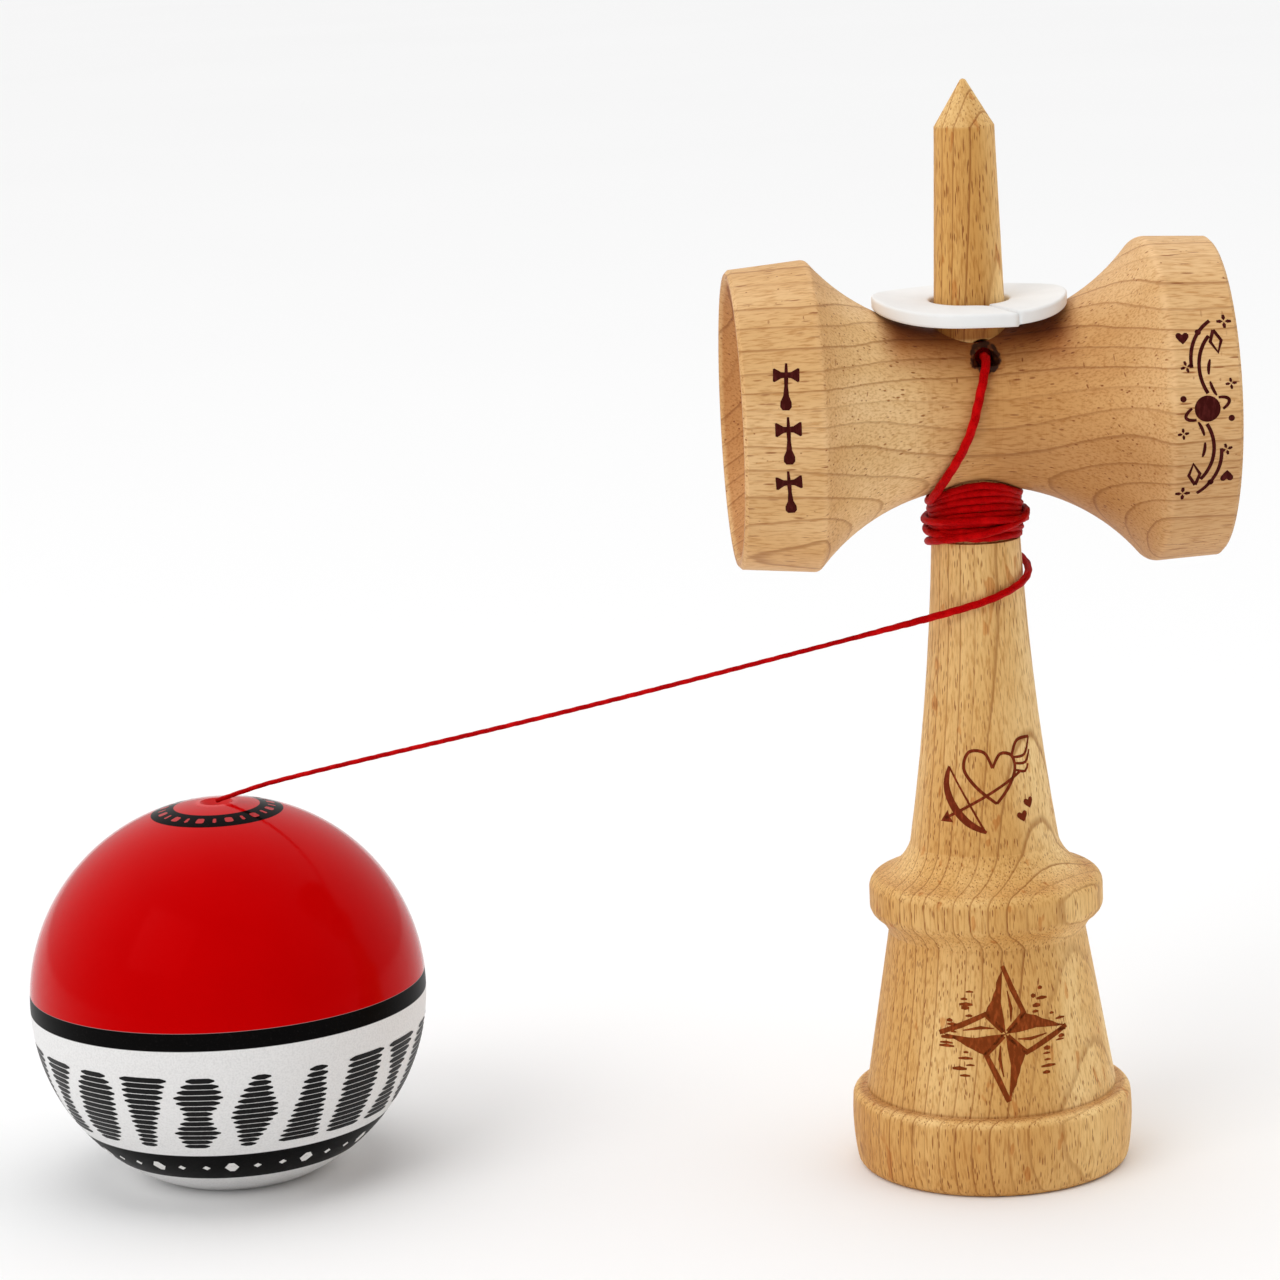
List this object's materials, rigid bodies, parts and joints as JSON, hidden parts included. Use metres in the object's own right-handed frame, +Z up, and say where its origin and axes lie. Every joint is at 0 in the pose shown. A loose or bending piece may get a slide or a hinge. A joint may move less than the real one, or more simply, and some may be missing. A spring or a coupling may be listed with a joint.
{
  "type": "kendama",
  "caption": "Turned beech kendama standing on its foot, with a cupped cross-piece on the spike, a bored lacquered ball and a thin string wound round the handle.",
  "frame": {"origin": "centre of the flat rim under the handle's foot, on the surface it stands on", "axes": "+Z up along the handle to the spike's tip, +X along the cross-piece to its big cup, -Y to the side with the string's hole"},
  "size_m": [0.179, 0.0712, 0.161],
  "materials": {
    "beech_handle": "bare turned beech, smooth satin, with short dark flecks along the grain",
    "beech_cross_piece": "bare turned beech, smooth satin, grain along the cross-piece",
    "white_foam": "matte white closed-cell foam",
    "ball_lacquer": "gloss lacquer over wood: red above, black band, white below",
    "bead": "smooth red bead",
    "string": "waxed twisted red string"
  },
  "bodies": {
    "handle": {"ken": "beech_handle", "sarado": "beech_cross_piece", "ken_knot": "string", "string_lead": "string", "string_winding": "string"},
    "spacer": {"spacer_ring": "white_foam"},
    "string": {"string_run": "string"},
    "bead_end": {"bead": "bead", "bead_knot": "string", "string_in_tama": "string"},
    "ball": {"tama": "ball_lacquer"}
  },
  "joints": [
    {"name": "spacer_slide", "type": "slide", "parent": "handle", "child": "spacer", "axis": [0, 0, 1], "range_m": [0, 0.034]},
    {"name": "string_swing", "type": "hinge", "parent": "handle", "child": "string", "pos_m": [0, 0, 0.086], "axis": [0, 0, 1], "range_deg": [-60, 60]},
    {"name": "ball_tilt", "type": "hinge", "parent": "string", "child": "bead_end", "pos_m": [-0.1139, 0.0176, 0.0574], "axis": [0.22, 0.9755, 0], "range_deg": [0, 75]},
    {"name": "ball_spin", "type": "hinge", "parent": "bead_end", "child": "ball", "pos_m": [-0.1139, 0.0176, 0.0274], "axis": [0, 0, 1], "continuous": true}
  ]
}
